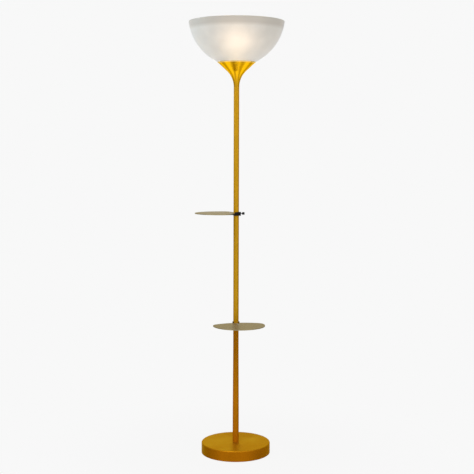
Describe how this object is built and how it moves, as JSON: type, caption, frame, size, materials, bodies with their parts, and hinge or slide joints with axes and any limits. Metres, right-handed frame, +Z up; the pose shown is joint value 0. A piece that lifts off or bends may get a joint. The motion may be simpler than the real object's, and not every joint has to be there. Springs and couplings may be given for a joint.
{
  "type": "floor lamp",
  "caption": "Uplighter floor lamp with a round weighted base, a slim sectioned pole, a flared cup under a wide frosted bowl shade, and round side trays clamped to the pole.",
  "frame": {"origin": "middle of the base's underside, on the pole's axis", "axes": "+Z up along the pole, -Y towards the viewer in the picture, -X towards the upper tray"},
  "size_m": [0.3826, 0.3826, 1.752],
  "materials": {
    "pole_gold": "satin",
    "cup_gold": "gloss",
    "tray_metal": "satin",
    "zinc_steel": "satin",
    "cement": "matte",
    "foam_pad": "matte",
    "rubber": "matte",
    "clamp_plastic": "matte",
    "bush_nylon": "satin",
    "knob_plastic": "matte",
    "holder_plastic": "satin",
    "contact_brass": "satin",
    "shade_plastic": "satin",
    "bulb_glass": "satin"
  },
  "bodies": {
    "lamp_stand": {"base_pad": "foam_pad", "base_plate": "zinc_steel", "base_weight": "cement", "base_cover": "pole_gold", "base_nipple": "zinc_steel", "base_washer": "zinc_steel", "base_nut": "zinc_steel", "cord_bush": "rubber", "foot_plug": "zinc_steel", "lower_pole": "pole_gold", "lower_coupler": "zinc_steel", "middle_pole": "pole_gold", "upper_coupler": "zinc_steel", "upper_pole": "pole_gold", "head_plug": "zinc_steel", "cup": "cup_gold", "cup_washer": "zinc_steel", "cup_nut": "zinc_steel", "holder_nipple": "zinc_steel", "lampholder_body": "holder_plastic", "lampholder_shell": "zinc_steel", "lampholder_contact": "contact_brass", "shade": "shade_plastic", "shade_ring": "holder_plastic", "bulb_globe": "bulb_glass", "bulb_cap": "zinc_steel"},
    "upper_slider": {"upper_bush": "bush_nylon"},
    "upper_table": {"upper_clamp": "clamp_plastic", "upper_tray": "tray_metal", "upper_tray_screws": "zinc_steel"},
    "upper_lock": {"upper_thumb_screw": "zinc_steel", "upper_knob": "knob_plastic"},
    "lower_slider": {"lower_bush": "bush_nylon"},
    "lower_table": {"lower_clamp": "clamp_plastic", "lower_tray": "tray_metal", "lower_tray_screws": "zinc_steel"},
    "lower_lock": {"lower_thumb_screw": "zinc_steel", "lower_knob": "knob_plastic"}
  },
  "joints": [
    {"name": "upper_tray_slide", "type": "slide", "parent": "lamp_stand", "child": "upper_slider", "axis": [0, 0, 1], "range_m": [-0.2, 0.4]},
    {"name": "upper_tray_swivel", "type": "hinge", "parent": "upper_slider", "child": "upper_table", "pos_m": [0, 0, 0.989], "axis": [0, 0, 1], "continuous": true},
    {"name": "upper_knob_turn", "type": "hinge", "parent": "upper_table", "child": "upper_lock", "pos_m": [0.0288, 0, 0.987], "axis": [1, 0, 0], "range_deg": [0, 540]},
    {"name": "lower_tray_slide", "type": "slide", "parent": "lamp_stand", "child": "lower_slider", "axis": [0, 0, 1], "range_m": [-0.08, 0.2]},
    {"name": "lower_tray_swivel", "type": "hinge", "parent": "lower_slider", "child": "lower_table", "pos_m": [0, 0, 0.54], "axis": [0, 0, 1], "continuous": true},
    {"name": "lower_knob_turn", "type": "hinge", "parent": "lower_table", "child": "lower_lock", "pos_m": [-0.00569, 0.02823, 0.538], "axis": [-0.1977, 0.9803, 0], "range_deg": [0, 540]}
  ]
}
